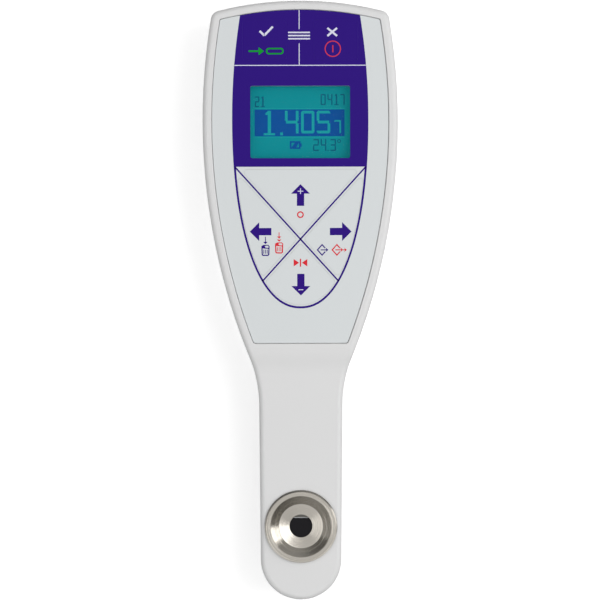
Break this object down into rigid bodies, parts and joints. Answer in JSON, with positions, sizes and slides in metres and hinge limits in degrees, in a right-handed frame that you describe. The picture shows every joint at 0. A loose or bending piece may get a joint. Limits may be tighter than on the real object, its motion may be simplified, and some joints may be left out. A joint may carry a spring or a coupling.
{
  "type": "handheld refractometer",
  "caption": "Pocket digital refractometer with a steel sample well in its tail, a display, a film keypad and a battery door in the back.",
  "frame": {"origin": "middle of the casing's outline, on the surface that its back lies on", "axes": "+Z out of the face, +Y towards the display end, -Y towards the measuring cell, +X across"},
  "size_m": [0.0688, 0.211, 0.029],
  "materials": {
    "casing": "fine moulded texture, light grey",
    "seal": "soft black rubber",
    "screw_steel": "zinc plated",
    "film": "printed polyester film, satin",
    "clear_pane": "clear, polished",
    "polyester": "clear amber film",
    "contact_metal": "nickel plated spring strip",
    "display_glass": "liquid crystal cell, teal",
    "light_guide": "clear acrylic",
    "white_plastic": "moulded",
    "board": "green lacquered laminate",
    "chip": "black moulded package",
    "dark_window": "dark, clear to infrared",
    "battery_jacket": "printed jacket, plain",
    "brass_insert": "turned",
    "turned_steel": "turned and polished stainless steel",
    "prism_glass": "polished hard glass over a dark block",
    "black_plastic": "black moulding"
  },
  "bodies": {
    "housing": {"front_shell": "casing", "rear_shell": "casing", "casing_gasket": "seal", "casing_screws": "screw_steel", "keypad_overlay": "film", "display_window": "clear_pane", "keypad_spacer": "polyester", "keypad_circuit": "polyester", "key_domes": "contact_metal", "display_gasket": "seal", "lcd_glass": "display_glass", "lcd_backlight": "light_guide", "lcd_connectors": "seal", "lcd_holder": "white_plastic", "main_board": "board", "board_screws": "screw_steel", "processor_chip": "chip", "converter_chip": "chip", "buzzer": "chip", "keypad_socket": "white_plastic", "sensor_socket": "white_plastic", "infrared_emitter": "dark_window", "infrared_window": "dark_window", "battery_left": "battery_jacket", "battery_right": "battery_jacket", "battery_bridge": "contact_metal", "battery_terminals": "contact_metal", "door_insert": "brass_insert", "cell_ring": "turned_steel", "cell_gasket": "seal", "cell_nut": "brass_insert", "prism": "prism_glass", "prism_seal": "seal", "optics_block": "black_plastic", "optics_screws": "screw_steel", "lens": "clear_pane", "image_sensor": "chip", "sensor_board": "board", "lamp": "clear_pane", "lamp_board": "board", "thermistor": "contact_metal", "sensor_ribbon": "polyester", "lamp_ribbon": "polyester"},
    "key_ok": {"key_ok": "film"},
    "key_esc": {"key_esc": "film"},
    "key_up": {"key_up": "film"},
    "key_left": {"key_left": "film"},
    "key_right": {"key_right": "film"},
    "key_down": {"key_down": "film"},
    "battery_door": {"battery_door": "casing", "door_gasket": "seal"},
    "door_screw": {"door_screw": "screw_steel"}
  },
  "joints": [
    {"name": "key_ok_press", "type": "slide", "parent": "housing", "child": "key_ok", "axis": [0, 0, -1], "range_m": [0, 0.0003], "stiffness_N_per_m": 1500},
    {"name": "key_esc_press", "type": "slide", "parent": "housing", "child": "key_esc", "axis": [0, 0, -1], "range_m": [0, 0.0003], "stiffness_N_per_m": 1500},
    {"name": "key_up_press", "type": "slide", "parent": "housing", "child": "key_up", "axis": [0, 0, -1], "range_m": [0, 0.0003], "stiffness_N_per_m": 1500},
    {"name": "key_left_press", "type": "slide", "parent": "housing", "child": "key_left", "axis": [0, 0, -1], "range_m": [0, 0.0003], "stiffness_N_per_m": 1500},
    {"name": "key_right_press", "type": "slide", "parent": "housing", "child": "key_right", "axis": [0, 0, -1], "range_m": [0, 0.0003], "stiffness_N_per_m": 1500},
    {"name": "key_down_press", "type": "slide", "parent": "housing", "child": "key_down", "axis": [0, 0, -1], "range_m": [0, 0.0003], "stiffness_N_per_m": 1500},
    {"name": "battery_door_swing", "type": "hinge", "parent": "housing", "child": "battery_door", "pos_m": [0, 0.0695, 0], "axis": [1, 0, 0], "range_deg": [0, 50]},
    {"name": "door_screw_turn", "type": "hinge", "parent": "battery_door", "child": "door_screw", "pos_m": [0, 0.0086, 0.001], "axis": [0, 0, 1], "continuous": true}
  ]
}
